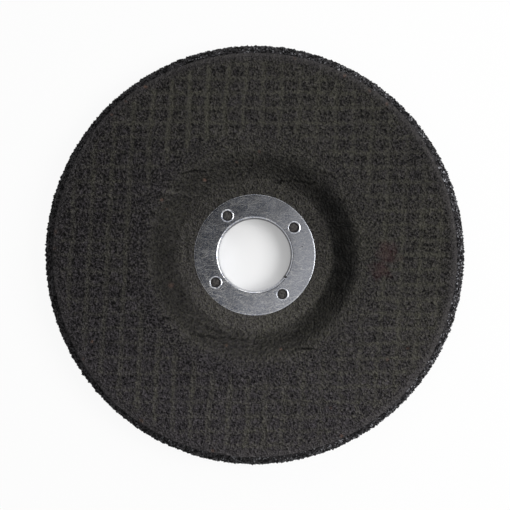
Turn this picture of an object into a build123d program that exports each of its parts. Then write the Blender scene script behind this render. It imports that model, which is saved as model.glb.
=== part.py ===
from build123d import *
from math import radians, tan
import os

# A depressed-centre grinding disc: an abrasive body hot-pressed with a glass
# cloth on its recessed face, moulded round a flanged steel ring. It lies on the
# back of its hub with the recess upwards. Lengths are in millimetres, angles in
# degrees, Z runs up the bore, and z = 0 is the back of the hub.

# Disc
disc_diameter = 127.0
disc_thickness = 6.4
recess_depth = 4.6
recess_foot_diameter = 50.3  # where the recess's flat bottom and its slope would meet
slope_angle = 42.0
foot_bend_radius = 5.3  # of the inside of each bend
shoulder_bend_radius = 3.0
front_edge_radius = 4.7
rim_land = 0.2  # of upright wall that is always left below the front edge's round

# Each bend and edge is drawn in a few flats
tight_flat_count = 1
wide_flat_count = 3
edge_flat_count = 2
lip_flat_count = 1

# Cloth: its warp lies flat and proud, and its weft shows as ridges between the hollows
cloth_thickness = 0.45
cloth_inset = 3.0
cloth_corner_offset = 0.6
warp_pitch = 5.5
weft_pitch = 4.4
yarn_width = 1.6
warp_lean = 3.0
hollow_depth = 0.18
weave_inner_margin = 2.4  # between the weave and the end of the shoulder's bend
weave_outer_margin = 0.6  # between the weave and the start of the edge's round
weave_sides = 48
smallest_cell_width = 3.2

# Centre ring, whose flange has a flat land on either side of its anchor holes
bore_diameter = 22.23
sheet_thickness = 0.6
inner_land_width = 1.335
outer_land_width = 2.35
collar_end_gap = 0.3
nick_angle = -35.5
nick_width = 0.6
nick_length = 0.4
nick_depth = 0.5

# Anchor holes, pierced through the flange
anchor_count = 4
anchor_start_angle = 35.0
anchor_hole_diameter = 3.0

# Heights and radii that follow from them
disc_radius = disc_diameter / 2
bore_radius = bore_diameter / 2
collar_radius = bore_radius + sheet_thickness
anchor_radius = anchor_hole_diameter / 2
anchor_circle_radius = collar_radius + inner_land_width + anchor_radius
flange_radius = anchor_circle_radius + anchor_radius + outer_land_width
foot_radius = recess_foot_diameter / 2
shoulder_radius = foot_radius + recess_depth / tan(radians(slope_angle))
bend_share = tan(radians(slope_angle / 2))
hub_front = disc_thickness
face_front = disc_thickness + recess_depth
face_back = recess_depth
seat_height = hub_front - cloth_thickness
flange_top = seat_height + sheet_thickness

# The front edge's round is limited by the body's wall
front_round = min(front_edge_radius, disc_thickness - cloth_thickness - rim_land)


def in_flats(line, flats):
    """The points of a line, with its arcs drawn in turn as so many equal flats each."""
    points = [line @ 0]
    for edge in line.order_edges():
        steps = flats.pop(0) if edge.geom_type == GeomType.CIRCLE else 1
        points += [edge @ (step / steps) for step in range(1, steps + 1)]
    return points


def front_points(depth, start):
    """Front of the layer that lies this deep: recess, slope, face and rim, from a start radius."""
    rim = disc_radius + cloth_thickness - depth
    line = FilletPolyline(
        (start, hub_front - depth),
        (foot_radius + depth * bend_share, hub_front - depth),
        (shoulder_radius + depth * bend_share, face_front - depth),
        (rim, face_front - depth),
        (rim, face_back),
        radius=[
            foot_bend_radius + depth,
            shoulder_bend_radius + disc_thickness - depth,
            front_round + cloth_thickness - depth,
        ],
    )
    return in_flats(line, [tight_flat_count, wide_flat_count, edge_flat_count])


def back_points():
    """Back of the body: hub, slope, face and rim, one disc thickness behind the front."""
    shift = disc_thickness * bend_share
    line = FilletPolyline(
        (collar_radius, 0),
        (foot_radius + shift, 0),
        (shoulder_radius + shift, face_back),
        (disc_radius, face_back),
        radius=[foot_bend_radius + disc_thickness, shoulder_bend_radius],
    )
    return in_flats(line, [wide_flat_count, tight_flat_count])


def turned(points):
    """The solid turned about the bore from a section with these corners."""
    return revolve(Plane.XZ * Polygon(*points, align=None), axis=Axis.Z)


def at_anchors(piece):
    """A copy of a piece at each anchor hole."""
    places = PolarLocations(anchor_circle_radius, anchor_count, anchor_start_angle)
    return [place * piece for place in places]


def abrasive_body():
    """The pressed abrasive, whose hub fills the space behind the ring's flange."""
    return turned(front_points(cloth_thickness, collar_radius) + back_points()[::-1])


def cloth_blank():
    """The cut shape of the cloth: four flat arcs that reach further out at their corners."""
    side = disc_radius - cloth_inset
    corner = side + cloth_corner_offset
    quarter = 90
    start, middle, end = (Vector(1, 0).rotate(Axis.Z, turn) for turn in (-quarter / 2, 0, quarter / 2))
    arc = ThreePointArc(corner * start, side * middle, corner * end)
    arcs = [Rot(0, 0, turn) * arc for turn in range(0, 360, quarter)]
    return extrude(make_face(arcs), face_front)


def warp_yarns():
    """The flat yarns that stand out of the cloth, one pitch apart and leaning from the Y axis."""
    strip = Rectangle(yarn_width, disc_diameter)
    reach = int(disc_radius / warp_pitch)
    return [Rot(0, 0, -warp_lean) * Pos(warp_pitch * step, 0) * strip for step in range(-reach, reach + 1)]


def weave_cells():
    """The gaps between the warp yarns, parted by the weft, as flat shapes over the flat ring of the face."""
    shoulder_end = shoulder_radius + (shoulder_bend_radius + disc_thickness) * bend_share
    gaps = RegularPolygon(disc_radius - front_round - weave_outer_margin, weave_sides)
    gaps -= RegularPolygon(shoulder_end + weave_inner_margin, weave_sides)
    gaps -= warp_yarns()
    row = Rectangle(disc_diameter, weft_pitch)
    reach = int(disc_radius / weft_pitch)
    rows = [gaps & Pos(0, (step + 0.5) * weft_pitch) * row for step in range(-reach, reach)]
    return [cell for cells in rows for cell in cells.faces() if cell.area > smallest_cell_width**2]


def hollow(cell):
    """The pyramid by which the cloth sags in one cell, under a short block that clears the face."""
    base = Pos(0, 0, face_front) * cell
    rise = Vector(0, 0, hollow_depth)
    tip = base.center() - rise
    slopes = [Face(Wire.make_polygon([edge @ 0, edge @ 1, tip])) for edge in base.edges()]
    walls = [
        Face(Wire.make_polygon([edge @ 0, edge @ 1, edge @ 1 + rise, edge @ 0 + rise]))
        for edge in base.edges()
    ]
    return Solid(Shell([*slopes, *walls, Pos(rise) * base]))


def front_cloth():
    """The cloth on the recessed face, cut out round the ring's flange, its weave standing out."""
    outside = front_points(0, flange_radius)
    inside = front_points(cloth_thickness, flange_radius)
    cloth = turned(outside + inside[::-1]) & cloth_blank()
    return cloth - [hollow(cell) for cell in weave_cells()]


def centre_ring():
    """The flanged steel ring, with its pierced anchor holes and a nick in its lip."""
    lip = FilletPolyline(
        (bore_radius, collar_end_gap),
        (bore_radius, flange_top),
        (flange_radius, flange_top),
        radius=sheet_thickness,
    )
    under = [(flange_radius, seat_height), (collar_radius, seat_height), (collar_radius, collar_end_gap)]
    ring = turned(in_flats(lip, [lip_flat_count]) + under)
    ring -= at_anchors(Pos(0, 0, seat_height) * extrude(Circle(anchor_radius), sheet_thickness))
    nick = Box(2 * nick_length, nick_width, 2 * nick_depth)
    return ring - Rot(0, 0, nick_angle) * Pos(bore_radius, 0, flange_top) * nick


nodes = {
    "abrasive_body": abrasive_body(),
    "front_cloth": front_cloth(),
    "centre_ring": centre_ring(),
}

os.makedirs("parts", exist_ok=True)
for name, node in nodes.items():
    node.label = name
    export_step(node, f"parts/{name}.step")
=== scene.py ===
# %% [markdown]
# A depressed-centre grinding disc, seen from above as it lies on the back of its hub.
# The real one is pressed in a hot mould: black abrasive grain wetted with resin, a sheet of
# open glass cloth laid on the recessed face, and a zinc-coated steel ring that the resin
# grips through four pierced holes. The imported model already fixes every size, so it is
# loaded first, and each surface below is drawn around it.

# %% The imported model
from itertools import combinations
from math import cos, pi, radians, sin, sqrt, tan

import bpy
import numpy as np
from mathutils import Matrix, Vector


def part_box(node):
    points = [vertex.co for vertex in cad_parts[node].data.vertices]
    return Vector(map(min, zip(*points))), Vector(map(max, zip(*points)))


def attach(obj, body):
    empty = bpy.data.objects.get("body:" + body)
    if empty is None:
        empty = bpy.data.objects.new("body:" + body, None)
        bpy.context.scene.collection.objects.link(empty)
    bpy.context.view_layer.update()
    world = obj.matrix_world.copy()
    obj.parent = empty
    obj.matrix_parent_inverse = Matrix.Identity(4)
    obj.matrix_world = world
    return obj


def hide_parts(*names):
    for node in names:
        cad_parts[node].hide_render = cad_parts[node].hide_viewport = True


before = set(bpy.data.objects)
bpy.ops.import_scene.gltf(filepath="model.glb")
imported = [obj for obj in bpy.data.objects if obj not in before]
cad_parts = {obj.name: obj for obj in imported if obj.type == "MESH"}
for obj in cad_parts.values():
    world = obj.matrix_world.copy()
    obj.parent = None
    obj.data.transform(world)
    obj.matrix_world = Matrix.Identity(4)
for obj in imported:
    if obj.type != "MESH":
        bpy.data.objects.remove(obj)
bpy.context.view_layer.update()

print("nodes in the packed model:", sorted(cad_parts))

# %% [markdown]
# The script thinks in millimetres and turns them into metres only when a mesh is made.
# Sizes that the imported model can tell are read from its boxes. A box can't tell the cloth's
# thickness, the slope, the bends, the bore, the holes or the nick, so those are written
# here once, and the rest of the section follows from them.

# %% Sizes, in millimetres
METRE = 0.001


def box_corners(node):
    """The lowest and the highest corner of a node's box."""
    return [np.array(corner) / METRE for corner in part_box(node)]


cloth_low, cloth_high = box_corners("front_cloth")
ring_low, ring_high = box_corners("centre_ring")

DISC_RADIUS = box_corners("abrasive_body")[1][0]
FACE_FRONT = cloth_high[2]
SEAT = cloth_low[2]
FLANGE_RADIUS = ring_high[0]
FLANGE_TOP = ring_high[2]
COLLAR_END = ring_low[2]
SHEET = FLANGE_TOP - SEAT

CLOTH = 0.45
HUB_FRONT = SEAT + CLOTH
THICKNESS = HUB_FRONT
RECESS = FACE_FRONT - HUB_FRONT
SLOPE = radians(42)
FOOT_CORNER = 25.15
FOOT_BEND = 5.3
SHOULDER_BEND = 3.0
FRONT_ROUND = 4.7
BORE = 11.115
COLLAR = BORE + SHEET
HOLE = 1.5
HOLE_CIRCLE = 14.55
HOLE_START = radians(35)
NICK_ANGLE = radians(-35.5)

# A bend takes this share of its radius off the straight run before and after it
BEND_SHARE = tan(SLOPE / 2)
FOOT_START = FOOT_CORNER - FOOT_BEND * BEND_SHARE
SLOPE_RUN = RECESS / sin(SLOPE) - (FOOT_BEND + SHOULDER_BEND + THICKNESS) * BEND_SHARE
SHOULDER_END = FOOT_CORNER + RECESS / tan(SLOPE) + (SHOULDER_BEND + THICKNESS) * BEND_SHARE
FLAT_END = DISC_RADIUS - FRONT_ROUND

print("disc radius", round(DISC_RADIUS, 3), "face at", round(FACE_FRONT, 3))
print("flange radius", round(FLANGE_RADIUS, 3))

# %% [markdown]
# Every surface here is a section line carried round the bore. A section made of straight
# runs and round bends is easiest to write the way a cart is steered: drive so far, turning
# so much. One formula then covers both, because the chord of a steady turn has the length
# of the arc times sin(half the turn) over half the turn, and points half the turn off the
# first heading. Offsetting the line to another layer of the disc only changes the radii.

# %% Section lines


def along(moves, start, travel):
    """Points on a steered line: r, z and the two parts of the normal on its left, for each length travelled.

    A move is (length, turn). The heading starts along +r and turns evenly by that much over that length.
    """
    lengths = np.array([length for length, turn in moves], float)
    turns = np.array([turn for length, turn in moves], float)
    headings = start[2] + np.concatenate([[0], np.cumsum(turns)])
    half = turns / 2
    chords = lengths * np.sinc(half / pi)
    r = start[0] + np.concatenate([[0], np.cumsum(chords * np.cos(headings[:-1] + half))])
    z = start[1] + np.concatenate([[0], np.cumsum(chords * np.sin(headings[:-1] + half))])
    ends = np.concatenate([[0], np.cumsum(lengths)])
    move = np.clip(np.searchsorted(ends, travel, side="right") - 1, 0, len(moves) - 1)
    part = travel - ends[move]
    turned = turns[move] / lengths[move] * part
    chord = part * np.sinc(turned / 2 / pi)
    middle = headings[move] + turned / 2
    heading = headings[move] + turned
    return (
        r[move] + chord * np.cos(middle),
        z[move] + chord * np.sin(middle),
        -np.sin(heading),
        np.cos(heading),
    )


def bend(radius, turn):
    """A move round a bend of this radius."""
    return radius * abs(turn), turn


def front_moves(depth, start):
    """The front of the layer that lies this deep: hub, slope, face and the round to the rim."""
    return [
        (FOOT_START - start, 0),
        bend(FOOT_BEND + depth, SLOPE),
        (SLOPE_RUN, 0),
        bend(SHOULDER_BEND + THICKNESS - depth, -SLOPE),
        (FLAT_END - SHOULDER_END, 0),
        bend(FRONT_ROUND + CLOTH - depth, -pi / 2),
    ]


def distance(moves):
    """The lengths travelled at the end of each move."""
    return np.cumsum([length for length, turn in moves])


def raised(r, z, normal_r, normal_z, angle, height):
    """Points of a section turned to an angle, each moved this far along its normal."""
    out = r + height * normal_r
    return np.stack([out * np.cos(angle), out * np.sin(angle), z + height * normal_z], 1)


cloth_moves = front_moves(0, FLANGE_RADIUS)
face_travel = distance(cloth_moves)[4]
print("front of the cloth, lengths to the end of each stretch:", distance(cloth_moves).round(2))

# %% [markdown]
# Noise gives the grain. It has to be the same on every run, so no random generator is
# asked for it: the whole-number corners of a lattice are scrambled into values by
# multiplying and folding their bits. Gradient noise blends slopes from the corners of a
# cell and makes rounded lumps, and its folded form makes worm-like ridges.

# %% Noise
CELL_FACTORS = np.array([73856093, 19349663, 83492791])
SEED_FACTOR = 2654435761
FOLDS = ((16, 73244475), (15, 668265261), (16, 1))
CODES = 2**32
CELL_CORNERS = np.stack(np.meshgrid((0, 1), (0, 1), (0, 1), indexing="ij"), -1).reshape(-1, 3)
NOISE_GAIN = 1.7
FOLD_GAIN = 3.2


def scrambled(cells, seed):
    """A value from 0 to 1 for each row of whole numbers, always the same for the same row and seed."""
    code = (np.bitwise_xor.reduce(cells * CELL_FACTORS, axis=-1) ^ seed * SEED_FACTOR) % CODES
    for shift, factor in FOLDS:
        code = (code ^ code >> shift) * factor % CODES
    return code / CODES


def lumps(points, size, seed):
    """Gradient noise from about -1 to 1, with lumps of this size.

    Each corner of a cell has a slope of its own, and the slopes' heights are blended by eased distances.
    """
    spots = points / size
    cell = np.floor(spots).astype(np.int64)
    part = spots - cell
    ease = part**3 * (part * (part * 6 - 15) + 10)
    total = np.zeros(len(points))
    for corner in CELL_CORNERS:
        weight = np.prod(np.where(corner, ease, 1 - ease), axis=1)
        slope = np.stack([scrambled(cell + corner, seed + axis) for axis in range(3)], 1) * 2 - 1
        total += weight * np.sum(slope * (part - corner), axis=1)
    return total * NOISE_GAIN


def worms(points, size, seed):
    """Folded gradient noise: winding ridges as high as 1, with values below 0 between them."""
    return 1 - FOLD_GAIN * np.abs(lumps(points, size, seed))


def flat_points(x, y, layer=0.0):
    """Points in a plane for the noise to read."""
    return np.stack([x, y, np.full_like(x, layer)], 1)


def eased(value):
    """A smooth step from 0 at 0 to 1 at 1."""
    value = np.clip(value, 0, 1)
    return value * value * (3 - 2 * value)


# %% [markdown]
# A polar grid crowds its points near the bore and spreads them at the rim. To keep them
# about even, the number of points in a row may double or halve from one row to the next,
# and three triangles then stand where two faces would. The rows make a closed loop, so
# the shell has no open edge and no pole, and every face looks outwards.

# %% A shell of rows round the bore


def row_faces(first, second, inner, outer):
    """Faces between two rows, given their first vertex and their number of points."""
    j = np.arange(min(inner, outer))
    after = (j + 1) % len(j)
    if inner == outer:
        return np.stack([first + j, second + j, second + after, first + after], 1).tolist()
    if outer > inner:
        a, b, mid = first + j, first + after, second + 2 * j + 1
        near, far = second + 2 * j, second + (2 * j + 2) % outer
        triangles = [(a, near, mid), (a, mid, b), (b, mid, far)]
    else:
        a, b, mid = second + j, second + after, first + 2 * j + 1
        near, far = first + 2 * j, first + (2 * j + 2) % inner
        triangles = [(a, mid, near), (a, b, mid), (b, far, mid)]
    return [face for corner in triangles for face in np.stack(corner, 1).tolist()]


def row_places(counts, offset=0.0):
    """The row and the angle of every point of rows with so many points each."""
    counts = np.asarray(counts)
    first = np.concatenate([[0], np.cumsum(counts)[:-1]])
    row = np.repeat(np.arange(len(counts)), counts)
    angle = 2 * pi * (np.arange(counts.sum()) - first[row]) / counts[row] + offset
    return row, angle, first


def shell_faces(counts, first):
    """The faces of a closed loop of rows."""
    faces = []
    for here in range(len(counts)):
        there = (here + 1) % len(counts)
        faces += row_faces(first[here], first[there], counts[here], counts[there])
    return faces


def new_piece(name, points, faces, smooth=True, **marks):
    """A mesh object from points in millimetres, with one value for each point in each named attribute."""
    mesh = bpy.data.meshes.new(name)
    mesh.from_pydata((points * METRE).tolist(), [], faces)
    mesh.polygons.foreach_set("use_smooth", np.full(len(mesh.polygons), smooth))
    for mark, values in marks.items():
        attribute = mesh.attributes.new(mark, "FLOAT", "POINT")
        attribute.data.foreach_set("value", values.astype(np.float32))
    mesh.update()
    piece = bpy.data.objects.new(name, mesh)
    bpy.context.scene.collection.objects.link(piece)
    triangles = sum(len(face) - 2 for face in faces)
    print(name, "has", len(points), "points and", triangles, "triangles")
    return piece


# %% [markdown]
# The glass cloth is an open weave: fat yarns with square holes between them. The press
# drives resin and grain up through the holes, so the yarns read as smooth bars and the
# holes as rough, darker cells. The upright yarns lean a little and are fainter on the
# right half, the level ones are faint on both, and all fade towards the shoulder and the
# edge. Each yarn is a strip whose cover falls off with the distance to its centre line,
# and a fine seam runs beside each upright yarn and every second level one.

# %% The weave
WARP_PITCH = 5.5
WEFT_PITCH = 4.4
WARP_LEAN = radians(3)
YARN = 1.6
HOLLOW = 0.24
SEAM = 0.1
SEAM_SOFT = 0.34


def strips(value, pitch, width, soft=0.45):
    """How far a yarn covers each place: a smooth step from 1 inside to 0 outside, half at its edge."""
    off = np.abs((value / pitch + 0.5) % 1 - 0.5) * pitch
    return eased((width / 2 + soft - off) / (2 * soft))


def weave(x, y):
    """The cover of the upright yarns, of the level yarns and of the seams. All wander with slow noise."""
    spots = flat_points(x, y)
    upright = x * cos(WARP_LEAN) - y * sin(WARP_LEAN) + 0.6 * lumps(spots, 14, 11)
    upright += 0.25 * lumps(spots, 3.5, 13)
    level = y + 0.5 * lumps(spots, 11, 12) + 0.25 * lumps(spots, 3.5, 14)
    seams = strips(upright + 0.62 * YARN, WARP_PITCH, SEAM, SEAM_SOFT)
    level_seams = strips(level + 0.5 * YARN, 2 * WEFT_PITCH, SEAM, SEAM_SOFT)
    seams = np.maximum(seams, 0.8 * level_seams)
    return strips(upright, WARP_PITCH, YARN), strips(level, WEFT_PITCH, 0.8 * YARN), seams


# %% [markdown]
# The press also left creases, where the cloth was pushed into the recess and folded. Each
# is a short line with a depth and a half width. Its groove falls off as the bell curve of
# the distance to the line, the cloth beside it stands up a little, and a deep groove gets
# painted shade. A negative depth is a fold that stands up instead, with its crest rubbed
# pale, and the lips of a groove are rubbed half as much. Rust is iron dust that stuck in
# the resin, in ragged round specks.

# %% Creases and specks, as places on the disc
CREASES = [
    # from x, y to x, y, depth, half width
    (5.9, 22.2, 12.0, 22.5, 0.22, 0.28),
    (12.0, 22.5, 18.2, 21.6, 0.20, 0.26),
    (19.5, 25.0, 22.6, 24.4, 0.20, 0.25),
    (22.6, 24.4, 24.4, 22.4, 0.20, 0.25),
    (26.2, 20.8, 28.6, 19.6, 0.16, 0.22),
    (27.6, 17.8, 29.4, 20.2, 0.18, 0.22),
    (-22.6, 24.6, -18.0, 25.4, 0.20, 0.25),
    (-18.0, 25.4, -14.8, 25.0, 0.22, 0.25),
    (-12.6, 36.6, -6.0, 36.9, -0.14, 0.35),
    (-6.0, 36.9, 0.2, 36.2, -0.12, 0.35),
    (-33.6, 20.0, -26.0, 18.6, -0.12, 0.35),
    (-26.0, 18.6, -17.0, 18.0, -0.13, 0.35),
    (-19.4, -23.2, -12.0, -25.0, 0.16, 0.32),
    (-12.0, -25.0, -2.0, -25.6, 0.14, 0.32),
    (-17.0, -21.0, -8.6, -23.8, 0.12, 0.34),
    (-28.6, -19.2, -22.6, -18.6, 0.14, 0.30),
    (-22.6, -18.6, -16.0, -20.6, 0.12, 0.32),
    (12.2, -28.2, 17.6, -28.0, 0.20, 0.25),
    (9.6, -29.8, 12.2, -28.2, 0.14, 0.25),
    (-24.8, 12.6, -23.6, 5.0, 0.10, 0.45),
    (-20.4, -2.0, -20.8, 8.0, 0.08, 0.45),
]
# The groove depth at which a crease's painted shade is full
PAINTED_SHADE_DEPTH = 0.2
SPECKS_WITHIN = 60.0
SPECKS = [
    # x, y, radius, strength
    (-33.3, 51.3, 0.54, 1.0),
    (-39.2, 46.7, 0.34, 0.8),
    (-43.5, 42.6, 0.41, 0.5),
    (-60.2, 7.0, 0.61, 0.35),
    (-60.3, 2.0, 0.54, 0.35),
    (-15.2, 22.6, 0.48, 0.8),
    (-5.5, 27.8, 0.34, 0.7),
    (-27.8, 16.5, 0.41, 0.9),
    (-26.4, 13.8, 0.34, 0.6),
    (1.4, 31.0, 0.41, 0.6),
    (27.2, 54.3, 0.48, 0.5),
    (35.0, 50.1, 0.48, 0.4),
    (40.3, 46.0, 0.54, 0.4),
    (-48.6, -25.9, 0.41, 1.0),
    (-51.6, -31.3, 0.41, 0.5),
    (-34.5, -50.4, 0.54, 0.9),
    (-12.7, -59.3, 0.61, 0.8),
    (-25.4, -9.1, 0.82, 0.35),
    (-8.5, -27.2, 0.41, 0.9),
    (7.8, -28.3, 0.41, 0.8),
    (45.7, -28.0, 0.41, 0.8),
    (39.7, -31.3, 0.48, 0.5),
    (22.7, -45.7, 0.41, 0.7),
    (26.5, -55.0, 0.61, 0.8),
    (12.2, 60.0, 0.41, 0.4),
]


def crease_relief(x, y):
    """The depth of all creases at each place, the painted shade in their grooves, and how rubbed the folds.
    """
    relief, painted_groove_shade, rubbed = np.zeros((3, len(x)))
    spots = flat_points(x, y)
    wander = 0.7 * lumps(spots, 2.6, 21) + 0.35 * lumps(spots, 1.1, 22)
    for ax, ay, bx, by, depth, half in CREASES:
        run = np.array([bx - ax, by - ay])
        share = np.clip(((x - ax) * run[0] + (y - ay) * run[1]) / (run @ run), 0, 1)
        off = np.hypot(x - ax - share * run[0], y - ay - share * run[1] + wander)
        groove = np.exp(-((off / (1.1 * half)) ** 2))
        lip = np.exp(-(((off - 2.6 * half) / (1.3 * half)) ** 2))
        relief += depth * (1.1 * lip - 1.4 * groove)
        painted_groove_shade = np.maximum(painted_groove_shade, groove * min(max(depth, 0) / PAINTED_SHADE_DEPTH, 1))
        rubbed = np.maximum(rubbed, groove * (depth < 0) + 0.5 * lip * (depth > 0))
    return relief, painted_groove_shade, rubbed


def speck_cover(x, y):
    """How much rust lies at each place."""
    cover = np.zeros_like(x)
    ragged = 0.45 * lumps(flat_points(x, y), 0.9, 31)
    for sx, sy, radius, strength in SPECKS:
        inward = min(1, SPECKS_WITHIN / np.hypot(sx, sy))
        off = np.hypot(x - sx * inward, y - sy * inward) / radius + ragged
        cover = np.maximum(cover, strength * eased(1.35 - off))
    return cover


# %% [markdown]
# The cloth is built as a closed sheet: its top carries all the relief, its cut edge and
# its underside close it. The edge was cut as a square with very round sides, so it
# reaches a little further out on the diagonals: the last rows are stretched to meet it.

# %% The cloth's rows
CLOTH_EDGE = cloth_high[0]
CORNER_EDGE = CLOTH_EDGE + 0.6
SPACING = 0.40
INNER_POINTS = 500
SPLIT = 36.0
STRETCH_FROM = 55.0


def edge_radius(angle):
    """The radius of the cloth's cut edge: four equal arcs that meet at the diagonals."""
    nearest = (angle + pi / 4) % (pi / 2) - pi / 4
    return CLOTH_EDGE + (CORNER_EDGE - CLOTH_EDGE) * (1 - np.cos(nearest)) / (1 - cos(pi / 4))


def edge_travel(angle):
    """How far along the section the cut edge lies: the face, and then so much of the rim's bend."""
    outer_round = FRONT_ROUND + CLOTH
    lean = np.arcsin((edge_radius(angle) - FLAT_END) / outer_round)
    return face_travel + outer_round * lean


def travel_at(radius):
    """How far along the cloth's flat face a radius lies."""
    return face_travel - (FLAT_END - radius)


# The underside needs rows only at its ends and where it bends
mean_edge = edge_travel(np.array([pi / 8]))[0]
top = np.linspace(0, mean_edge, int(mean_edge / SPACING) + 1)
under_bends = np.linspace(18, 4.6, 11)
under = np.concatenate([[mean_edge, face_travel, 30], under_bends, [0]])
cut_edge = [(mean_edge + 0.08, 0.10), (mean_edge + 0.10, 0.25), (mean_edge + 0.06, 0.40)]
cloth_rows = [(s, 0.0) for s in top] + cut_edge + [(s, CLOTH) for s in under]
cloth_travel, cloth_depth = np.array(cloth_rows).T
cloth_counts = np.where(cloth_travel > travel_at(SPLIT), 2 * INNER_POINTS, INNER_POINTS)
row, angle, first = row_places(cloth_counts)

stretch_start = travel_at(STRETCH_FROM)
reach = (edge_travel(angle) - stretch_start) / (mean_edge - stretch_start)
travel = cloth_travel[row]
travel = np.where(travel > stretch_start, stretch_start + (travel - stretch_start) * reach, travel)
r, z, normal_r, normal_z = along(cloth_moves, (FLANGE_RADIUS, HUB_FRONT, 0), travel)
print("cloth rows", len(cloth_rows), "points", len(r))

# %% [markdown]
# The top's relief adds up the hollows of the weave, grain that is roughest in the
# openings, slow swells and the creases. Each effect is a product of smooth steps, so its
# place is read from its numbers: eased((r - 34) / 6) begins 34 mm out and is full 6 mm on.

# %% Where the weave shows
x, y = r * np.cos(angle), r * np.sin(angle)
spots = flat_points(x, y)
upright, level, seams = weave(x, y)
right_half = eased((x + 20) / 40)
inside_edge = edge_radius(angle) - r
weave_shows = eased((r - 34) / 6) * eased((inside_edge - 1.2) / 2.4)
yarn = 1 - (1 - (1 - 0.45 * right_half) * upright) * (1 - 0.65 * level)
seams = seams * (1 - 0.7 * right_half) * weave_shows
opening = 1 - yarn
print("share of the cloth under yarn", (yarn * weave_shows).mean().round(2))

# %% The cloth's relief
rough_cells = np.maximum(worms(spots + 0.3 * lumps(spots, 1.7, 2)[:, None], 1.2, 3), -0.9)
soft_lumps = lumps(spots, 2.4, 4)
fine_lumps = lumps(spots, 1.15, 5)
roughness = weave_shows * (0.45 + 0.55 * opening) + (1 - weave_shows) * 0.45
grain = (0.09 * rough_cells + 0.13 * fine_lumps) * (0.35 + 0.65 * roughness)
creases, crack, rubbed = crease_relief(x, y)
relief = -HOLLOW * opening * weave_shows + grain + 0.06 * soft_lumps + creases
relief += 0.06 * lumps(spots, 9, 6) * eased((r - 30) / 6) - 0.08 * seams
# The grooves of the creases and the seams get painted shade, and the slope's painted shade joins it below
crack = np.maximum(1.1 * crack, 0.7 * seams)

near_edge = eased(inside_edge / 0.6 + 0.2)
lifted = (cloth_depth[row] == 0) * eased((r - FLANGE_RADIUS) / 0.8)
height = relief * lifted * near_edge - cloth_depth[row]
print("relief from", height[lifted > 0].min().round(2), "to", height.max().round(2))

# %% [markdown]
# Colour comes later, from nodes. The mesh only keeps marks for it at each point: painted
# shade on the recess's slope, darkest at the right, away from the lamp, dust, a dull red
# stain of two blots, a paler part of the plateau round the ring towards its lower left,
# painted light that makes the cut edge paler on the side towards the lamps, and painted
# light that makes the disc paler towards its lower side.

# %% Painted shade and light, dust, stains and wear
STAINS = [(39.9, 0.6, 3.6), (37.9, -4.3, 3.2)]

# Painted shade on the slope of the recess, darkest at the right, away from the lamp
on_slope = eased((r - 22.6) / 1.8) * eased((32.4 - r) / 3.2)
painted_slope_shade = 0.46 + 0.16 * np.cos(2 * (angle - radians(8))) + 0.22 * np.cos(angle)
painted_slope_shade *= on_slope * (1 + 0.3 * lumps(spots, 4, 7))
dusty = 0.7 * eased((0.7 * y + 0.7 * x + 35) / 70) + 0.9 * eased((36 - r) / 6)
# The plateau round the ring is paler towards its lower left
paler_plateau = eased((25.5 - r) / 3) * (0.5 + 0.5 * np.cos(angle - radians(245))) ** 2
ragged = 0.5 * lumps(spots, 2.2, 8)
blots = [eased(1.3 - np.hypot(x - sx, y - sy) / size + ragged) for sx, sy, size in STAINS]
# Painted light: the cut edge is paler on the side towards the lamps
painted_edge_light = eased((1.6 - inside_edge) / 0.9) * (0.5 + 0.5 * np.cos(angle - radians(35)))
# Painted light: the disc is paler towards its lower side, darker at the top and the sides
painted_light_gradient = (np.maximum(-y, 0) * 13 - y * 2.5 - np.maximum(-x, 0) * 3 - np.maximum(x, 0) * 5) / 1000

cloth = new_piece(
    "glass_cloth",
    raised(r, z, normal_r, normal_z, angle, height),
    shell_faces(cloth_counts, first),
    yarn=yarn * weave_shows,
    dust=np.clip(dusty, 0, 1),
    relief=np.clip(0.5 + 0.20 * rough_cells * roughness + 0.36 * fine_lumps, 0, 1),
    # The wear of the folds and the painted light share one mark
    worn=painted_edge_light + 1.6 * paler_plateau + 2.2 * rubbed + 2.5 * painted_light_gradient,
    stain=np.max(blots, axis=0),
    rust=speck_cover(x, y),
    crack=np.maximum(crack, painted_slope_shade),
    edge=1 - eased(inside_edge / 3.0),
)
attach(cloth, "root")
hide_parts("front_cloth")

# %% [markdown]
# Under the cloth lies the abrasive body. Only its rim and its back show, so its hidden
# front gets few rows, its rim many, and its back a spacing between the two. The section
# goes out along the front, down the rim, in along the back and up beside the collar, and
# each corner is worn to a small round.

# %% The body's rows
WORN = 0.35
BODY_POINTS = 320
RIM_SPACING = 0.25
BACK_SPACING = 0.58
wall_top = FACE_FRONT - CLOTH - FRONT_ROUND

body_start = (COLLAR + WORN, SEAT, 0)
body_front = front_moves(CLOTH, COLLAR + WORN)
body_rim = [(wall_top - RECESS - WORN, 0), bend(WORN, -pi / 2)]
body_back = [
    (DISC_RADIUS - WORN - SHOULDER_END, 0),
    bend(SHOULDER_BEND, SLOPE),
    (SLOPE_RUN, 0),
    bend(FOOT_BEND + THICKNESS, -SLOPE),
    (FOOT_START - COLLAR - WORN, 0),
]
body_bore = [bend(WORN, -pi / 2), (SEAT - 2 * WORN, 0), bend(WORN, -pi / 2)]
body_moves = body_front + body_rim + body_back + body_bore
hub_end, _, _, shoulder_end, face_end, edge_end = distance(body_front)
rim_end = edge_end + distance(body_rim)[-1]
back_flat_end = rim_end + body_back[0][0]
back_end = rim_end + distance(body_back)[-1]
loop_end = distance(body_moves)[-1]

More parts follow.
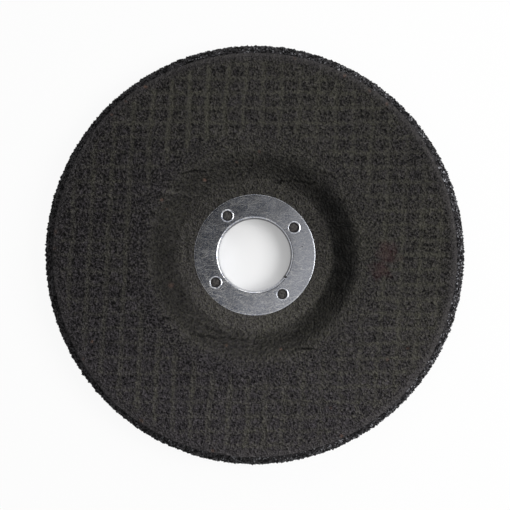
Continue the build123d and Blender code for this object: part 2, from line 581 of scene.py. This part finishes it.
# The points of a row double twice on the way to the rim, and halve twice on the back
on_hub = np.linspace(0, hub_end, 3)[:-1]
on_bends = np.linspace(hub_end, shoulder_end, 10)
hidden = np.concatenate([on_hub, on_bends, [face_end - 8]])
steps_out = [face_end - 6, face_end - 4]
rim_rows = np.arange(face_end + 0.2, rim_end + 0.3, RIM_SPACING)
outer_back = np.arange(rim_rows[-1] + 0.4, back_flat_end - 0.3, BACK_SPACING)
inner_back = np.arange(outer_back[-1] + 0.5, back_end, BACK_SPACING)
inside = np.linspace(back_end + 0.1, loop_end - 0.02, 9)
print("rim rows", len(rim_rows), "back rows", len(outer_back) + len(inner_back))

stretches = [(hidden, 1), (steps_out, 2), (rim_rows, 4), (outer_back, 2), (inner_back, 1), (inside, 1)]
body_travel = np.concatenate([rows for rows, doubled in stretches])
body_counts = np.repeat(
    [doubled * BODY_POINTS for rows, doubled in stretches], [len(rows) for rows, doubled in stretches]
)
row, angle, first = row_places(body_counts)
r, z, normal_r, normal_z = along(body_moves, body_start, body_travel[row])
x, y = r * np.cos(angle), r * np.sin(angle)
print("body points", len(r), "section closes within", np.hypot(r[0] - r[-1], z[0] - z[-1]).round(2))

# %% [markdown]
# No picture of the back was at hand, so it stays plain: the same weave pressed in faintly,
# under more resin. The rim is broken grain: the body gets a lumpy ground there, and
# separate grains are set in it below.

# %% The body's relief
spots = np.stack([x, y, z], 1)
travel = body_travel[row]
on_rim = eased((travel - face_end) / 0.8) * eased((rim_end + 0.8 - travel) / 1.2)
on_back = eased((travel - rim_end - 0.4) / 2.5) * (normal_z < 0.2) * eased((r - COLLAR - 1) / 2)
back_upright, back_level, back_seams = weave(-x + 7.0, y)
back_yarn = 1 - (1 - back_upright) * (1 - 0.8 * back_level)
back_grain = worms(spots, 1.3, 43)
rim_lumps = lumps(spots, 0.9, 41)
relief = on_rim * (0.16 * rim_lumps - 0.10)
relief += on_back * (0.07 * back_grain * (1.1 - back_yarn) - 0.12 * (1 - back_yarn) - 0.05 * back_seams)
relief += on_back * 0.04 * lumps(spots, 3, 44)
relief *= (travel > face_end) & (travel < back_end)
body_points = raised(r, z, normal_r, normal_z, angle, relief)
body_points[:, 2] = np.maximum(body_points[:, 2], 0)
body = new_piece(
    "abrasive_skin",
    body_points,
    shell_faces(body_counts, first),
    yarn=back_yarn * on_back,
    relief=np.clip(0.5 + 0.4 * back_grain * on_back + 0.5 * on_rim * rim_lumps, 0, 1),
)
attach(body, "root")
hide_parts("abrasive_body")

# %% [markdown]
# The grains at the rim are crushed, so they have corners and flat breaks that catch the
# light one by one. Each is a solid of twenty faces pulled out of shape, flat shaded, and
# half sunk in the resin. They stand on a loose grid over the rim so that none is missing.

# %% Loose grains round the rim
GRAIN = 0.80
GRAIN_SIZES = (0.30, 0.56)
LEAST_SINK = 0.12
MORE_SINK = 0.20


def twenty_faces():
    """The corners and faces of a regular solid of twenty triangles, with its corners one away."""
    golden = (1 + sqrt(5)) / 2
    signs = [(a, b) for a in (-1, 1) for b in (-golden, golden)]
    points = [(0, a, b) for a, b in signs] + [(a, b, 0) for a, b in signs] + [(b, 0, a) for a, b in signs]
    points = np.array(points) / sqrt(1 + golden * golden)
    gaps = np.linalg.norm(points[:, None] - points[None], axis=2)
    near = (gaps > 0.1) & (gaps < 1.1)
    faces = []
    for a, b, c in combinations(range(len(points)), 3):
        if near[a, b] and near[b, c] and near[a, c]:
            turn = np.dot(np.cross(points[b] - points[a], points[c] - points[a]), points[a])
            faces.append((a, b, c) if turn > 0 else (a, c, b))
    return points, np.array(faces)


def grains(places, sizes, seed):
    """Crushed grains: the twenty-faced solid, pulled at its corners, squashed and turned about each axis.

    A corner's distance is times 0.72 to 1.28, and each axis is times 0.75 to 1.25.
    """
    base, base_faces = twenty_faces()
    count = len(places)
    grain, corner = np.meshgrid(np.arange(count), np.arange(len(base)), indexing="ij")
    index = np.stack([grain, corner, np.full_like(grain, seed)], -1)
    pull = 0.72 + 0.56 * scrambled(index, seed)
    tilt = np.stack([scrambled(index[:, 0], seed + 1 + axis) for axis in range(3)], 1)
    spin = 2 * pi * tilt
    shape = base[None] * pull[:, :, None]
    shape = shape * (0.75 + 0.5 * np.roll(tilt, 1, axis=1))[:, None, :]
    for axis in range(3):
        other, third = (axis + 1) % 3, (axis + 2) % 3
        c, s = np.cos(spin[:, axis])[:, None], np.sin(spin[:, axis])[:, None]
        a, b = shape[..., other].copy(), shape[..., third].copy()
        shape[..., other], shape[..., third] = a * c - b * s, a * s + b * c
    points = places[:, None] + shape * sizes[:, None, None]
    faces = base_faces[None] + len(base) * np.arange(count)[:, None, None]
    return points.reshape(-1, 3), faces.reshape(-1, 3).tolist()


def round_the_rim():
    """Places on the rim's band, one in each cell of a grid, each moved about in its cell."""
    band = np.arange(face_end + FRONT_ROUND * radians(12), rim_end + 0.2, 0.92 * GRAIN)
    around = int(2 * pi * DISC_RADIUS / GRAIN)
    cell = np.meshgrid(np.arange(len(band)), np.arange(around), [0], indexing="ij")
    cell = np.stack(cell, -1).reshape(-1, 3)
    travel = band[cell[:, 0]] + GRAIN * (scrambled(cell, 51) - 0.5)
    angle = 2 * pi * (cell[:, 1] + 0.9 * scrambled(cell, 52) + 0.5 * (cell[:, 0] % 2)) / around
    smallest, largest = GRAIN_SIZES
    size = smallest + (largest - smallest) * scrambled(cell, 53)
    r, z, normal_r, normal_z = along(body_moves, body_start, travel)
    off_cloth = (r > edge_radius(angle) + 0.2) | (z < SEAT)
    sink = LEAST_SINK + MORE_SINK * scrambled(cell, 54)
    places = raised(r, z, normal_r, normal_z, angle, -sink)
    return places[off_cloth], size[off_cloth]


rim_places, rim_sizes = round_the_rim()
rim_points, rim_faces = grains(rim_places, rim_sizes, 61)
rim_grains = new_piece("rim_grains", rim_points, rim_faces, smooth=False)
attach(rim_grains, "root")

# %% [markdown]
# In each pierced hole stands a plug of the body that the press squeezed up through the
# ring. It is a low dome: a round grid whose outer rows go down the hole's wall, closed
# with a fan above and below. Its colour is painted darker towards the hole's wall, as
# painted shade.

# %% Plugs in the holes
PLUG_TOP = FLANGE_TOP - 0.45
PLUG_FOOT = SEAT - 0.3
PLUG_RADIUS = HOLE - 0.01
DOME_FALL = 0.22
SIDE_START = PLUG_TOP - 0.5
PAINTED_SHADE_START = 0.95


def domed_plug(centre, seed):
    """A closed dome: rings of points on a cap that falls off as the square of the radius, and a side."""
    rings, points_round = 9, 36
    share = np.linspace(0.1, 1, rings)
    ring_r = np.concatenate([share, [1.0, 1.0]]) * PLUG_RADIUS
    ring_z = np.concatenate([PLUG_TOP - DOME_FALL * share**2, [SIDE_START, PLUG_FOOT]])
    row, angle, first = row_places([points_round] * len(ring_r))
    x = ring_r[row] * np.cos(angle)
    y = ring_r[row] * np.sin(angle)
    lift = 0.14 * lumps(flat_points(x, y), 0.7, seed) * (row < rings)
    points = np.stack([x + centre[0], y + centre[1], ring_z[row] + lift], 1)
    poles = [[*centre, PLUG_TOP], [*centre, PLUG_FOOT]]
    j = np.arange(points_round)
    after = (j + 1) % points_round
    here = first[:-1, None]
    below = here + points_round
    sides = np.stack([here + j, below + j, below + after, here + after], 2).reshape(-1, 4)
    pole = np.full_like(j, len(points))
    top_fan = np.stack([pole, j, after], 1)
    foot_fan = np.stack([pole + 1, first[-1] + after, first[-1] + j], 1)
    return np.concatenate([points, poles]), [*sides.tolist(), *top_fan.tolist(), *foot_fan.tolist()]


hole_angles = HOLE_START + np.arange(4) * pi / 2
hole_centres = HOLE_CIRCLE * np.stack([np.cos(hole_angles), np.sin(hole_angles)], 1)
plug_points, plug_faces, painted_plug_shade = np.zeros((0, 3)), [], []
for number, centre in enumerate(hole_centres):
    points, faces = domed_plug(centre, 71 + number)
    plug_faces += [[corner + len(plug_points) for corner in face] for face in faces]
    plug_points = np.concatenate([plug_points, points])
    off_axis = np.hypot(*(points[:, :2] - centre).T)
    # Painted shade: the plug's colour darkens towards the hole's wall
    painted_plug_shade.append(1 - 0.8 * eased((off_axis - PAINTED_SHADE_START) / 0.4))
plug_grain = 2.0 + 2.6 * lumps(plug_points, 0.55, 76)
plugs = new_piece(
    "anchor_plugs",
    plug_points,
    plug_faces,
    yarn=np.full(len(plug_points), 0.6),
    # The plugs' relief mark carries their grain and the painted shade
    relief=np.clip(plug_grain * np.concatenate(painted_plug_shade), 0, 4),
)
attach(plugs, "root")

# %% [markdown]
# The ring is pressed from one piece of sheet: a collar, a round lip, a flat flange. Its
# four holes were pierced from below, which rolled their edges into low bright beads. A
# ring of rows can't bend round a hole, so a square of its grid is left out at each one,
# and a second small grid of circles, joined to that square at its first row, carries the
# bead and the wall of the hole down to the underside. Marks tell where soil sits, in one
# speck and in the nick, and where painted shade lies, round half of the bore's upper edge.

# %% The ring's rows
RING_POINTS = 480
BLOCK = 12
BLOCK_ROW = 4
BEAD = 0.26
BEAD_RISE = 0.09
EDGE_ROUND = 0.13
NICK_HALF = 0.46
NICK_END = 12.1
NICK_FALL = 0.5
NICK_PUSH = 0.35
NICK_REACH = 1.2
step_round = 2 * pi / RING_POINTS
block_half = HOLE_CIRCLE * step_round * BLOCK
flat_rows = np.concatenate(
    [
        np.linspace(COLLAR, HOLE_CIRCLE - block_half, BLOCK_ROW + 1),
        np.linspace(HOLE_CIRCLE - block_half, HOLE_CIRCLE + block_half, 2 * BLOCK + 1)[1:],
        np.linspace(HOLE_CIRCLE + block_half, FLANGE_RADIUS - EDGE_ROUND, 6)[1:],
    ]
)


def run(r, z):
    """A stretch of the section as rows of r and z, one of which may stay the same."""
    return np.stack(np.broadcast_arrays(r, z), 1)


def arc(centre_r, centre_z, radius, from_angle, to_angle, count):
    """Points round part of a circle in the section, without its first."""
    turn = np.linspace(from_angle, to_angle, count + 1)[1:]
    return run(centre_r + radius * np.cos(turn), centre_z + radius * np.sin(turn))


collar = run(BORE, np.linspace(COLLAR_END + 0.05, FLANGE_TOP - SHEET, 6))
lip = arc(COLLAR, FLANGE_TOP - SHEET, SHEET, pi, pi / 2, 8)
section = [
    collar,
    lip,
    run(flat_rows[1:], FLANGE_TOP),
    arc(FLANGE_RADIUS - EDGE_ROUND, FLANGE_TOP - EDGE_ROUND, EDGE_ROUND, pi / 2, 0, 4),
    arc(FLANGE_RADIUS - EDGE_ROUND, SEAT + EDGE_ROUND, EDGE_ROUND, 0, -pi / 2, 3)[:-1],
    run(flat_rows[::-1], SEAT),
    run([COLLAR, BORE], COLLAR_END),
]
section_r, section_z = np.concatenate(section).T
top_start = len(collar) + len(lip) - 1
under_end = len(section_r) - 3
print("ring section rows", len(section_r), "from", section_r[top_start], "to", section_r[under_end])

# %% The ring's surface
counts = np.full(len(section_r), RING_POINTS)
row, angle, first = row_places(counts, HOLE_START)
r, z = section_r[row], section_z[row]

off_nick = (angle - NICK_ANGLE + pi) % (2 * pi) - pi
notch = eased((NICK_HALF - np.abs(off_nick) * r) / 0.16) * eased((NICK_END - r) / 0.25)
notch = notch * (z > FLANGE_TOP - NICK_REACH)
waves = 0.012 * lumps(flat_points(r * np.cos(angle), r * np.sin(angle)), 5, 81) * (z > FLANGE_TOP - 0.01)
ring_points = np.stack([r * np.cos(angle), r * np.sin(angle), z - NICK_FALL * notch + waves], 1)
ring_points[:, :2] *= (1 + NICK_PUSH * notch / r)[:, None]


def block_ring(hole, start_row, way):
    """The grid's own points round the square at one hole, anticlockwise seen from above."""
    step = np.arange(2 * BLOCK)
    near, far = np.zeros_like(step), np.full_like(step, 2 * BLOCK)
    rows = start_row + way * np.concatenate([step, far, far - step, near])
    columns = hole * RING_POINTS // 4 - BLOCK + np.concatenate([near, step, far, far - step])
    return rows * RING_POINTS + columns % RING_POINTS


def in_block(row_of, column):
    """Whether the face after this row and column lies in a square that is left out, above or below."""
    quarter = RING_POINTS // 4
    on_top = row_of - top_start - BLOCK_ROW
    under = row_of - under_end + BLOCK_ROW + 2 * BLOCK
    across = (column + quarter // 2) % quarter - quarter // 2 + BLOCK
    hits = [(steps >= 0) & (steps < 2 * BLOCK) for steps in (on_top, under, across)]
    return (hits[0] | hits[1]) & hits[2]


here, j = np.divmod(np.arange(len(section_r) * RING_POINTS), RING_POINTS)
there = (here + 1) % len(section_r)
after = (j + 1) % RING_POINTS
ring_quads = np.stack([first[here] + j, first[there] + j, first[there] + after, first[here] + after], 1)
ring_quads = [ring_quads[~in_block(here, j)]]

bead_foot = run(HOLE + BEAD + np.array([0.24, 0.16, 0.07]), FLANGE_TOP + BEAD_RISE * np.array([0, 0, 0.8]))
bead = arc(HOLE + BEAD, FLANGE_TOP - BEAD + BEAD_RISE, BEAD, pi / 2, pi, 7)
hole_rings = np.concatenate([bead_foot, bead, run([HOLE], SEAT)])

for hole, centre in enumerate(hole_centres):
    outer = block_ring(hole, top_start + BLOCK_ROW, 1)
    inner = block_ring(hole, under_end - BLOCK_ROW, -1)
    around = ring_points[outer, :2] - centre
    direction = around / np.linalg.norm(around, axis=1)[:, None]
    added = [
        np.column_stack([centre + direction * ring_r, np.full(len(outer), ring_z)])
        for ring_r, ring_z in hole_rings
    ]
    new_rows = len(ring_points) + np.arange(len(added) * len(outer)).reshape(len(added), -1)
    ring_points = np.concatenate([ring_points, *added])
    chain = [outer, *new_rows, inner]
    for here, there in zip(chain[:-1], chain[1:]):
        ring_quads.append(np.stack([here, np.roll(here, -1), np.roll(there, -1), there], 1))

used, ring_quads = np.unique(np.concatenate(ring_quads), return_inverse=True)
ring_points = ring_points[used]
x, y = ring_points[:, :2].T
ring_r = np.hypot(x, y)
ring_angle = np.arctan2(y, x)
speck = eased(1.4 - np.hypot(x - 14.4, y - 2.6) / 0.3)
in_nick = eased((0.5 - np.abs(ring_angle - NICK_ANGLE) * ring_r) / 0.2) * eased((12.0 - ring_r) / 0.2)
# Painted shade round half of the bore's upper edge
painted_bore_shade = eased((pi / 2 + 0.3 - np.abs(ring_angle - radians(50))) / 0.5) * eased((BORE + 0.2 - ring_r) / 0.1)
soil = np.maximum(np.maximum(speck, 0.9 * in_nick), 0.8 * painted_bore_shade)
ring = new_piece("steel_ring", ring_points, ring_quads.reshape(-1, 4).tolist(), soil=soil)
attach(ring, "root")
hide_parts("centre_ring")

# %% [markdown]
# A finish is a sum of small effects, and sums are easier to read as sums. The class below
# wraps one socket of a material, and its operators add the Math nodes that an expression
# needs, so that a mask is written 1 - yarn * 0.5. Colours are mixed by Mix and scaled by
# Vector Math, because a Math node would turn them grey.

# %% Sockets in expressions


class Shade:
    """A socket of a node tree that Python's operators work on."""

    def __init__(self, tree, socket=None):
        self.tree = tree
        self.socket = socket

    def node(self, kind, settings, inputs, output=0):
        """One output of a new node: its settings are made first, then its sockets' values or links."""
        made = self.tree.nodes.new(kind)
        for name, value in settings.items():
            if name == "stops":
                while len(made.color_ramp.elements) < len(value):
                    made.color_ramp.elements.new(1)
                for element, (position, level) in zip(made.color_ramp.elements, value):
                    element.position = position
                    element.color = (level, level, level, 1)
            else:
                setattr(made, name, value)
        for name, value in inputs.items():
            if isinstance(value, Shade):
                self.tree.links.new(value.socket, made.inputs[name])
            else:
                made.inputs[name].default_value = value
        return Shade(self.tree, None if output is None else made.outputs[output])

    def sum_of(self, operation, first, second, clamp=False):
        """A Math node's result from two values."""
        settings = {"operation": operation, "use_clamp": clamp}
        return self.node("ShaderNodeMath", settings, {0: first, 1: second})

    def __add__(self, other):
        return self.sum_of("ADD", self, other)

    __radd__ = __add__

    def __mul__(self, other):
        return self.sum_of("MULTIPLY", self, other)

    __rmul__ = __mul__

    def __sub__(self, other):
        return self.sum_of("SUBTRACT", self, other)

    def __rsub__(self, other):
        return self.sum_of("SUBTRACT", other, self)

    def size_of(self):
        """The value without its sign."""
        return self.node("ShaderNodeMath", {"operation": "ABSOLUTE"}, {0: self})

    def limited(self):
        """The value kept between 0 and 1."""
        return self.sum_of("ADD", self, 0.0, clamp=True)

    def either(self, other):
        """The larger of two values."""
        return self.sum_of("MAXIMUM", self, other)

    def ramp(self, *stops):
        """The value led through stops of (place, level)."""
        return self.node("ShaderNodeValToRGB", {"stops": stops}, {"Fac": self})

    def mixed(self, first, second):
        """A colour between two colours, with this value as the share of the second."""
        return self.node("ShaderNodeMix", {"data_type": "RGBA"}, {0: self, 6: first, 7: second}, output=2)

    def scaled(self, factor):
        """A colour or vector made longer or shorter as a whole."""
        return self.node("ShaderNodeVectorMath", {"operation": "SCALE"}, {0: self, "Scale": factor})

    def stretched(self, x, y, z):
        """A position with each axis scaled by itself."""
        return self.node("ShaderNodeVectorMath", {"operation": "MULTIPLY"}, {0: self, 1: (x, y, z)})

    def part(self, axis):
        """One part of a position or direction."""
        return self.node("ShaderNodeSeparateXYZ", {}, {"Vector": self}, output=axis)

    def noise(self, size, detail=2.0, roughness=0.5):
        """Soft noise from 0 to 1 with features of this size in millimetres."""
        inputs = {"Vector": self, "Scale": 1 / (size * METRE), "Detail": detail, "Roughness": roughness}
        return self.node("ShaderNodeTexNoise", {}, inputs)

    def cells(self, size, output=0):
        """Cell noise with cells of this size: the distance to a cell's point, or as output 1 its colour."""
        inputs = {"Vector": self, "Scale": 1 / (size * METRE)}
        return self.node("ShaderNodeTexVoronoi", {}, inputs, output)

    def bump(self, height, depth, strength=1.0):
        """A normal tilted by a height that stands this many millimetres tall."""
        inputs = {"Height": height, "Distance": depth * METRE, "Strength": strength}
        return self.node("ShaderNodeBump", {}, inputs)

    def surface(self, colour, roughness, normal, constants):
        """A Principled surface, with some sockets that have one value all over."""
        varying = {"Base Color": colour, "Roughness": roughness, "Normal": normal}
        return self.node("ShaderNodeBsdfPrincipled", {}, varying | constants)


def seen(red, green, blue):
    """A colour as it looks on a screen, from 0 to 255, turned into the light it sends back."""
    shares = np.array([red, green, blue]) / 255
    light = np.where(shares <= 0.04045, shares / 12.92, ((shares + 0.055) / 1.055) ** 2.4)
    return (*(float(part) for part in light), 1.0)


def new_finish(name):
    """An empty material, and a socket of object positions to start from."""
    material = bpy.data.materials.new(name)
    material.use_nodes = True
    material.node_tree.nodes.clear()
    start = Shade(material.node_tree)
    return material, start.node("ShaderNodeTexCoord", {}, {}, output="Object")


def mark(start, name):
    """One of the values that the mesh carries at each point."""
    return start.node("ShaderNodeAttribute", {"attribute_name": name}, {}, output="Fac")


def coat_with(piece, material, surface):
    """Ends the material in this surface and gives it to the piece."""
    surface.node("ShaderNodeOutputMaterial", {}, {"Surface": surface}, output=None)
    piece.data.materials.append(material)


# %% [markdown]
# The resin on the cloth is black with a little dust pressed in: the yarns look olive, the
# cells between them purple-grey. What stands up is rubbed paler, the plateau round the
# ring is paler towards its lower left, and the pits stay dark. Painted shade darkens the
# creases, the seams and the recess's slope, and painted light makes the cut edge paler
# towards the lamps and the disc paler towards its lower side. So the brightness follows
# the marks that the mesh carries, and grain finer than the mesh can hold comes from
# noise, which tilts the surface too. It is strongest in the cells, and weaker on the
# yarns, in dust and at the cut edge. A bright dot here and there is a painted highlight,
# as of a crystal that catches the light.

# %% The cloth's finish
OLIVE = seen(56.5, 55.5, 49)
PURPLE = seen(49, 46.5, 49)
EDGE_GREY = seen(53, 51, 51.5)
RUST = seen(108, 86, 76)
STAIN = seen(64, 38, 40)

finish, place = new_finish("resin_on_glass_cloth")
marks = ("yarn", "dust", "relief", "rust", "crack", "edge", "worn", "stain")
yarn, dust, relief, rust, crack, edge, worn, stain = (mark(place, name) for name in marks)
grit = place.noise(0.58, 1.0, 0.5)
lumpy = place.noise(0.8, 1.0, 0.6)
winding = place.noise(1.3, 1.0, 0.5)
ridges = (1 - (winding - 0.5).size_of() * 9).limited()
patches = place.noise(16, 3.0)
tint = yarn * 0.5 + dust * 0.5 + (patches - 0.45) * 0.7 + (lumpy - 0.5) * 1.5
ground = tint.limited().mixed(PURPLE, OLIVE)
ground = (edge * 0.6).mixed(ground, EDGE_GREY)
busy = 1.75 - yarn * 0.65 - edge * 0.6 - dust * 0.9
grain = (relief - 0.5) * 0.5 + (grit - 0.5) * 3.8 + (lumpy - 0.5) * 1.2 + (ridges - 0.30) * 0.8
# Painted highlights: small bright dots, as of crystals that catch the light
painted_glint_dots = (1 - place.cells(2.0) * 10).limited()
painted_glints = painted_glint_dots * ((place.noise(5.0, 1.0) - 0.5) * 8).limited()
tall = (grit * 0.8 + lumpy * 1.0 + ridges * 0.3) * busy
# Wear and painted light, and the painted highlights, make the colour paler
level = 1.17 + grain * busy + (patches - 0.5) * 0.3 + yarn * 0.19 + worn * 0.4 + painted_glints * 2.2
ground = ground.scaled(level.either(0.08))
# Painted shade in the creases, the seams and the recess's slope
ground = ground.scaled(1 - crack)
ground = (stain * 0.4).mixed(ground, STAIN)
ground = (rust * (grit * 1.3 + 0.3)).limited().mixed(ground, RUST)
normal = place.bump(tall, 1.3, 1.0)
surface = place.surface(ground, 0.46 + grit * 0.2, normal, {"Specular IOR Level": 0.15})
coat_with(cloth, finish, surface)

# %% [markdown]
# The broken grain at the rim is nearly black, with pale grey breaks here and there. Cell
# noise with small cells gives the tone, and a steep ramp keeps most of it black. The
# grains' colour is painted paler towards the lamp on the right, as painted light. The
# back and the plugs weren't broken open, so they have a finish of their own, in the
# cloth's two colours but duller.

# %% The rim's finish
GRAIN_BLACK = seen(8, 8, 9)
GRAIN_GREY = seen(146, 146, 150)

finish, place = new_finish("broken_abrasive")
tone = place.cells(0.5, output=1).ramp((0.0, 0.0), (0.6, 0.02), (1.0, 1.0))
grit = place.noise(0.3, 3.0, 0.6)
# Painted light: the grains are paler towards the lamp on the right
level = 0.38 + grit + place.part("X") * 11
colour = tone.mixed(GRAIN_BLACK, GRAIN_GREY).scaled(level.either(0.15))
normal = place.bump(grit, 0.04, 0.6)
surface = place.surface(colour, 0.45 + grit * 0.25, normal, {"Specular IOR Level": 0.06})
coat_with(rim_grains, finish, surface)

# %% The finish of the back and the plugs
finish, place = new_finish("pressed_abrasive")
yarn, relief = mark(place, "yarn"), mark(place, "relief")
grit = place.noise(0.4, 3.0, 0.6)
patches = place.noise(18, 3.0)
colour = (yarn * 0.7 + (patches - 0.5) * 0.5).limited().mixed(PURPLE, OLIVE)
colour = colour.scaled((0.35 + relief * 0.6 + (grit - 0.5) * 1.3).either(0.12))
normal = place.bump(grit, 0.09, 0.8)
surface = place.surface(colour, 0.6 + grit * 0.2, normal, {"Specular IOR Level": 0.2})
coat_with(body, finish, surface)
plugs.data.materials.append(finish)

# %% [markdown]
# The ring is sheet steel with a bright zinc coat, rolled before it was pressed: fine
# streaks run one way across it, with soft patches where the coat crystallised. A metal's
# colour is only the tint of what it mirrors, so its look comes from roughness and from a
# faint bump that breaks the mirror up. Both colour and bump vary more on the left half,
# which mirrors the dim side of the room. Soil is dark and rough, and so is the painted
# shade under part of the bore's upper edge.

# %% The zinc's finish
ZINC_DARK = seen(148, 154, 170)
ZINC_LIGHT = seen(226, 226, 228)
SOIL_AND_SHADE = seen(50, 48, 46)

finish, place = new_finish("zinc_coat")
soil = mark(place, "soil")
streaks = place.stretched(0.45, 1.0, 1.0).noise(0.24, 1.0, 0.6)
westward = (0.55 - place.part("X") * 28).limited()
crossed = place.stretched(1.0, 0.3, 1.0).noise(0.8, 2.0, 0.6)
spangle = place.stretched(0.6, 1.0, 1.0).noise(2.2, 3.0, 0.6)
lines = place.stretched(0.35, 1.0, 1.0).noise(3.2, 3.0, 0.6)
scratches = (1 - (lines - 0.5).size_of() * 55).limited()
level = streaks * 0.9 + crossed * 0.25 + spangle * 0.25 - 0.7 + scratches * 0.3
level = (level * (0.25 + westward) + 0.5).ramp((0.34, 0.0), (0.66, 1.0))
tall = (streaks + crossed * 0.15 + scratches * 0.45) * (0.1 + westward)
normal = place.bump(tall, 0.010, 0.8)
# Soil in the speck and the nick, and painted shade at the bore's edge, share one mark and colour
colour = soil.mixed(level.mixed(ZINC_DARK, ZINC_LIGHT), SOIL_AND_SHADE)
surface = place.surface(colour, 0.15 + spangle * 0.10 + soil * 0.4, normal, {"Metallic": 1.0})
coat_with(ring, finish, surface)

# %% [markdown]
# The light is a plain studio: a large soft lamp on the right, a weak one beyond the top of
# the disc, and a bright ceiling. A lamp's power is worked out from the share of full light
# that it should give on the level face, where all shares add up to one, so that a colour
# comes out about as it is written. Power = share times pi squared times the distance
# squared, over the sine of the lamp's height.

# %% Lamps
LAMPS = [
    # name, bearing and height in degrees, distance and size in metres, share of the light
    ("lamp_right", 2, 49, 0.46, 0.26, 0.54),
    ("lamp_beyond", 80, 36, 0.62, 0.34, 0.08),
]
CEILING = 0.38


def soft_lamp(name, bearing, height, far, size, share):
    """A square lamp that faces the disc from this bearing, height and distance."""
    lamp = bpy.data.lights.new(name, "AREA")
    lamp.size = size
    up, turn = radians(height), radians(bearing)
    lamp.energy = share * pi**2 * far**2 / sin(up)
    holder = bpy.data.objects.new(name, lamp)
    holder.rotation_euler = (0, radians(90 - height), turn)
    holder.location = (far * cos(up) * cos(turn), far * cos(up) * sin(turn), far * sin(up))
    bpy.context.scene.collection.objects.link(holder)
    print(name, "at", [round(part, 3) for part in holder.location], "with", round(lamp.energy, 2), "W")


for lamp in LAMPS:
    soft_lamp(*lamp)

# %% [markdown]
# The disc lies on a white floor. It stays white where the camera looks, and still keeps
# part of the disc's shadow, because only a share of its light is its own: a small share
# under the hub, where the bore shows a shadow, and a large one from 50 mm outwards.

# %% Floor
FLOOR_GLOW = 0.92
HUB_GLOW = 0.22
FLOOR_SIZE = 6000.0
FLOOR_GAP = 0.02
PAINT = (0.86, 0.86, 0.86, 1)
WHITE = (1, 1, 1, 1)


def ray_is(start, kind):
    """1 for rays of this kind, 0 for all other light."""
    return start.node("ShaderNodeLightPath", {}, {}, output=f"Is {kind} Ray")


def either_light(share, first, second):
    """Two kinds of light or surface, with this share of the second."""
    return share.node("ShaderNodeMixShader", {}, {0: share, 1: first, 2: second})


side = np.array([-0.5, 0.5]) * FLOOR_SIZE
floor_x, floor_y = (part.ravel() for part in np.meshgrid(side, side))
floor = new_piece("floor", flat_points(floor_x, floor_y, -FLOOR_GAP), [(0, 1, 3, 2)], smooth=False)
finish, place = new_finish("white_floor")
painted = place.node("ShaderNodeBsdfDiffuse", {}, {"Color": PAINT})
glow = place.node("ShaderNodeEmission", {}, {"Color": WHITE, "Strength": 1.0})
off_centre = place.node("ShaderNodeVectorMath", {"operation": "LENGTH"}, {0: place}, output="Value")
glow_share = off_centre.ramp((0.03, HUB_GLOW), (0.05, FLOOR_GLOW))
looked_at = ray_is(place, "Camera").either(ray_is(place, "Glossy")).either(ray_is(place, "Transmission"))
coat_with(floor, finish, either_light(looked_at * glow_share, painted, glow))

# %% [markdown]
# The room is lit by its ceiling. Light that grows as the square of how far up it comes
# from gives the level face half of its value straight overhead, so the share is doubled.
# Metal needs something to mirror, so its rays meet another room, with white walls and a
# ceiling that goes from dark to bright. Behind the disc the camera sees plain white.

# %% Room


def background(start, colour, strength):
    """Light that comes from all round."""
    return start.node("ShaderNodeBackground", {}, {"Color": colour, "Strength": strength})


world = bpy.data.worlds.new("white_room")
world.use_nodes = True
world.node_tree.nodes.clear()
start = Shade(world.node_tree)
direction = start.node("ShaderNodeTexCoord", {}, {}, output="Generated")
rightward, onward, upward = (direction.part(axis) for axis in "XYZ")
leaning = rightward * 2.2 - onward * 1.5 + 0.5
overhead = leaning.ramp((0.40, 0.0), (0.51, 0.04), (0.61, 0.46), (0.69, 0.70))
is_ceiling = upward.ramp((0.0, 0.0), (0.84, 0.0), (0.955, 1.0), (1.0, 1.0))
walls = (rightward * 0.5 + 0.5).ramp((0.0, 0.8), (0.5, 0.72), (1.0, 0.66))
mirrored = background(start, is_ceiling.mixed(walls, overhead), 1.0)
ceiling = upward.either(0.0) * upward * (2 * CEILING)
light = either_light(ray_is(start, "Glossy"), background(start, WHITE, ceiling), mirrored)
sky = either_light(ray_is(start, "Camera"), light, background(start, WHITE, 1.0))
start.node("ShaderNodeOutputWorld", {}, {"Surface": sky}, output=None)
bpy.context.scene.world = world
bpy.context.scene.view_settings.view_transform = "Standard"

# %% [markdown]
# The photograph looks straight down, so the rim is a true circle in it. The camera stands
# two disc widths over the disc, with its top towards +Y. The lens follows from the width
# that the frame should take in at the level of the face.

# %% Camera
CAMERA_HEIGHT = 260.0
FRAME_WIDTH = 152.46
SENSOR = 36.0
CAMERA_X = 0.05

camera = bpy.data.cameras.new("camera")
camera.sensor_width = SENSOR
camera.lens = SENSOR * CAMERA_HEIGHT / FRAME_WIDTH
camera_holder = bpy.data.objects.new("camera", camera)
camera_holder.location = np.array([CAMERA_X, 0.0, FACE_FRONT + CAMERA_HEIGHT]) * METRE
bpy.context.scene.collection.objects.link(camera_holder)
bpy.context.scene.camera = camera_holder
print("lens", round(camera.lens, 1), "mm")
